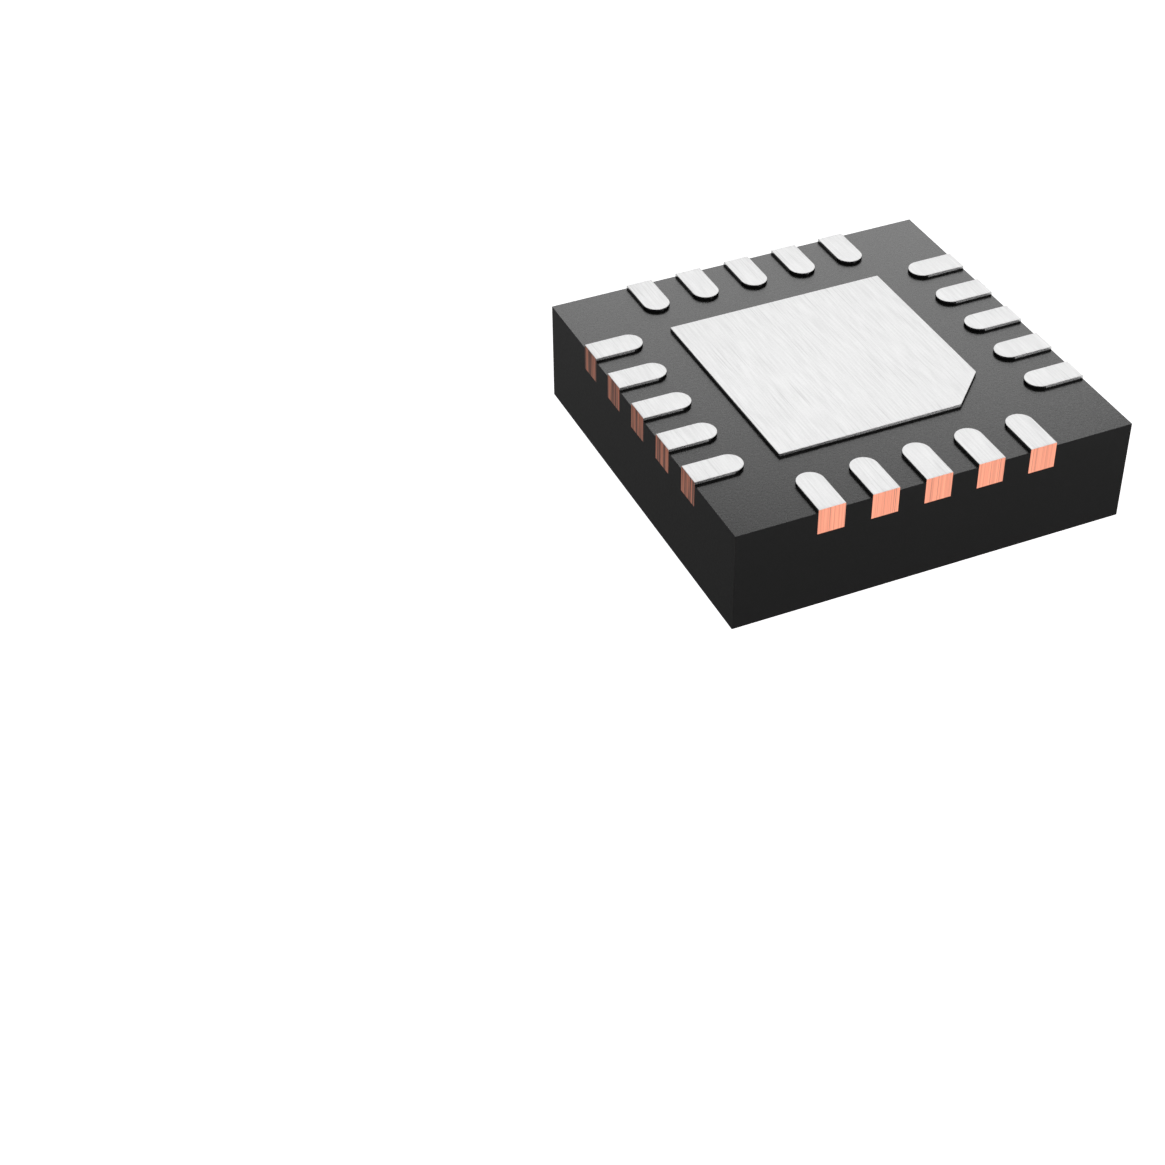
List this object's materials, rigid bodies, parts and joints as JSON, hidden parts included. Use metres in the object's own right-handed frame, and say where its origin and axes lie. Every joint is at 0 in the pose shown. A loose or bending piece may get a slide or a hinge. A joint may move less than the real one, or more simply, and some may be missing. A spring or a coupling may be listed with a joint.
{
  "type": "qfn chip",
  "caption": "Square flat no-lead chip for soldering to a circuit board, with a black moulded body, tinned terminals along its sides and an exposed thermal pad with a cut corner.",
  "frame": {"origin": "centre of the flat marking face, on which the chip lies with its solder face up", "axes": "+Z points out of the solder face. +X runs along the side of terminals 1 to 5, towards terminal 1, and the cut corner of the pad is at +X -Y."},
  "size_m": [0.003, 0.003, 0.0008],
  "materials": {
    "mold_compound": "matte",
    "tinned_copper": "brushed",
    "silicon": "polished",
    "die_glue": "satin",
    "bond_gold": "polished"
  },
  "bodies": {
    "root": {"mold_body": "mold_compound", "thermal_pad": "tinned_copper", "die_attach": "die_glue", "silicon_die": "silicon", "terminal_01": "tinned_copper", "terminal_02": "tinned_copper", "terminal_03": "tinned_copper", "terminal_04": "tinned_copper", "terminal_05": "tinned_copper", "terminal_06": "tinned_copper", "terminal_07": "tinned_copper", "terminal_08": "tinned_copper", "terminal_09": "tinned_copper", "terminal_10": "tinned_copper", "terminal_11": "tinned_copper", "terminal_12": "tinned_copper", "terminal_13": "tinned_copper", "terminal_14": "tinned_copper", "terminal_15": "tinned_copper", "terminal_16": "tinned_copper", "terminal_17": "tinned_copper", "terminal_18": "tinned_copper", "terminal_19": "tinned_copper", "terminal_20": "tinned_copper", "bond_wire_01": "bond_gold", "bond_wire_02": "bond_gold", "bond_wire_03": "bond_gold", "bond_wire_04": "bond_gold", "bond_wire_05": "bond_gold", "bond_wire_06": "bond_gold", "bond_wire_07": "bond_gold", "bond_wire_08": "bond_gold", "bond_wire_09": "bond_gold", "bond_wire_10": "bond_gold", "bond_wire_11": "bond_gold", "bond_wire_12": "bond_gold", "bond_wire_13": "bond_gold", "bond_wire_14": "bond_gold", "bond_wire_15": "bond_gold", "bond_wire_16": "bond_gold", "bond_wire_17": "bond_gold", "bond_wire_18": "bond_gold", "bond_wire_19": "bond_gold", "bond_wire_20": "bond_gold"}
  },
  "joints": []
}
